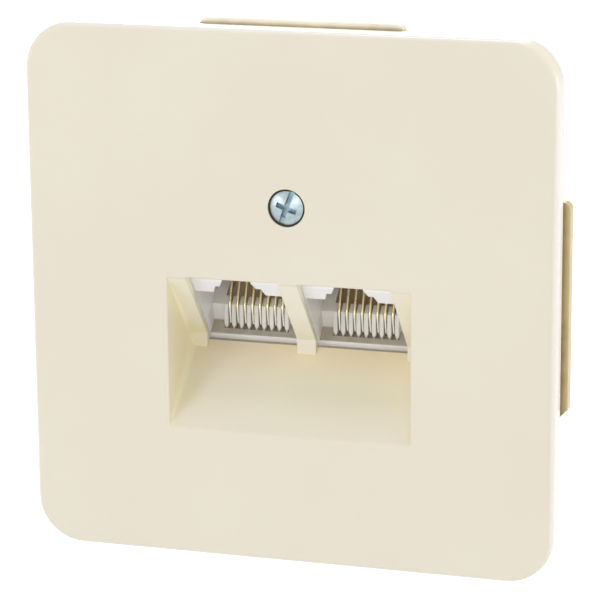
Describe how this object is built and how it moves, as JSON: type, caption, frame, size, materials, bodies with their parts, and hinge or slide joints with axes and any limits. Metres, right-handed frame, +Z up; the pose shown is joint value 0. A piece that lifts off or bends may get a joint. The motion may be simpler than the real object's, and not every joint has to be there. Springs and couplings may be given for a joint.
{
  "type": "flush data outlet",
  "caption": "Square cream flush wall outlet with slanted modular data ports, support ring, spreading claws and rear wire terminals.",
  "frame": {"origin": "centre of the support ring on its back face, which lies on the wall", "axes": "+X right, +Y into the wall, +Z up; the face of the outlet looks along -Y"},
  "size_m": [0.0692, 0.0352, 0.0692],
  "materials": {
    "cover_plastic": "smooth moulded cream, slight sheen",
    "screw_zinc": "bright bluish zinc",
    "retainer_plastic": "natural nylon",
    "ring_steel": "yellow-passivated zinc on sheet steel",
    "carrier_plastic": "moulded white, fine grain",
    "jack_plastic": "smooth moulded white",
    "contact_insert": "tan brown moulded",
    "contact_gold": "gold-plated spring wire",
    "board_laminate": "green solder mask on glass-fibre laminate",
    "terminal_plastic": "moulded white",
    "terminal_tin": "tin-plated bronze",
    "steel_zinc": "zinc-plated steel, satin",
    "clamp_plastic": "moulded white"
  },
  "bodies": {
    "base": {"board_screws": "steel_zinc", "carrier": "carrier_plastic", "circuit_board": "board_laminate", "claw_pin_left": "steel_zinc", "claw_pin_right": "steel_zinc", "contact_carrier_left": "contact_insert", "contact_carrier_right": "contact_insert", "contact_wires_left": "contact_gold", "contact_wires_right": "contact_gold", "cover_nut": "steel_zinc", "idc_block_lower": "terminal_plastic", "idc_block_upper": "terminal_plastic", "idc_contacts_lower": "terminal_tin", "idc_contacts_upper": "terminal_tin", "jack_housing_left": "jack_plastic", "jack_housing_right": "jack_plastic", "ring_screws": "steel_zinc", "support_ring": "ring_steel"},
    "cover": {"cover_plate": "cover_plastic"},
    "cover_fastener": {"cover_screw": "screw_zinc", "screw_retainer": "retainer_plastic"},
    "clamp": {"cable_clamp": "clamp_plastic"},
    "claw_left": {"claw_left": "steel_zinc"},
    "claw_right": {"claw_right": "steel_zinc"},
    "claw_screw_left": {"claw_screw_left": "steel_zinc"},
    "claw_screw_right": {"claw_screw_right": "steel_zinc"}
  },
  "joints": [
    {"name": "cover_lift", "type": "slide", "parent": "base", "child": "cover", "axis": [0, -1, 0], "range_m": [0, 0.025]},
    {"name": "cover_screw_turn", "type": "hinge", "parent": "cover", "child": "cover_fastener", "pos_m": [0, 0, 0.012], "axis": [0, -1, 0], "continuous": true},
    {"name": "claw_screw_left_turn", "type": "hinge", "parent": "base", "child": "claw_screw_left", "pos_m": [-0.024, 0, 0], "axis": [0, 1, 0], "range_deg": [0, 900]},
    {"name": "claw_left_swing", "type": "hinge", "parent": "base", "child": "claw_left", "pos_m": [-0.0202, 0.004, 0], "axis": [0, 0, 1], "range_deg": [0, 25]},
    {"name": "claw_screw_right_turn", "type": "hinge", "parent": "base", "child": "claw_screw_right", "pos_m": [0.024, 0, 0], "axis": [0, 1, 0], "range_deg": [0, 900]},
    {"name": "claw_right_swing", "type": "hinge", "parent": "base", "child": "claw_right", "pos_m": [0.0202, 0.004, 0], "axis": [0, 0, -1], "range_deg": [0, 25]},
    {"name": "clamp_press", "type": "slide", "parent": "base", "child": "clamp", "axis": [0, -1, 0], "range_m": [0, 0.0045]}
  ],
  "couplings": [
    {"joint": "claw_left_swing", "follows": "claw_screw_left_turn", "ratio": 0.027778},
    {"joint": "claw_right_swing", "follows": "claw_screw_right_turn", "ratio": 0.027778}
  ]
}
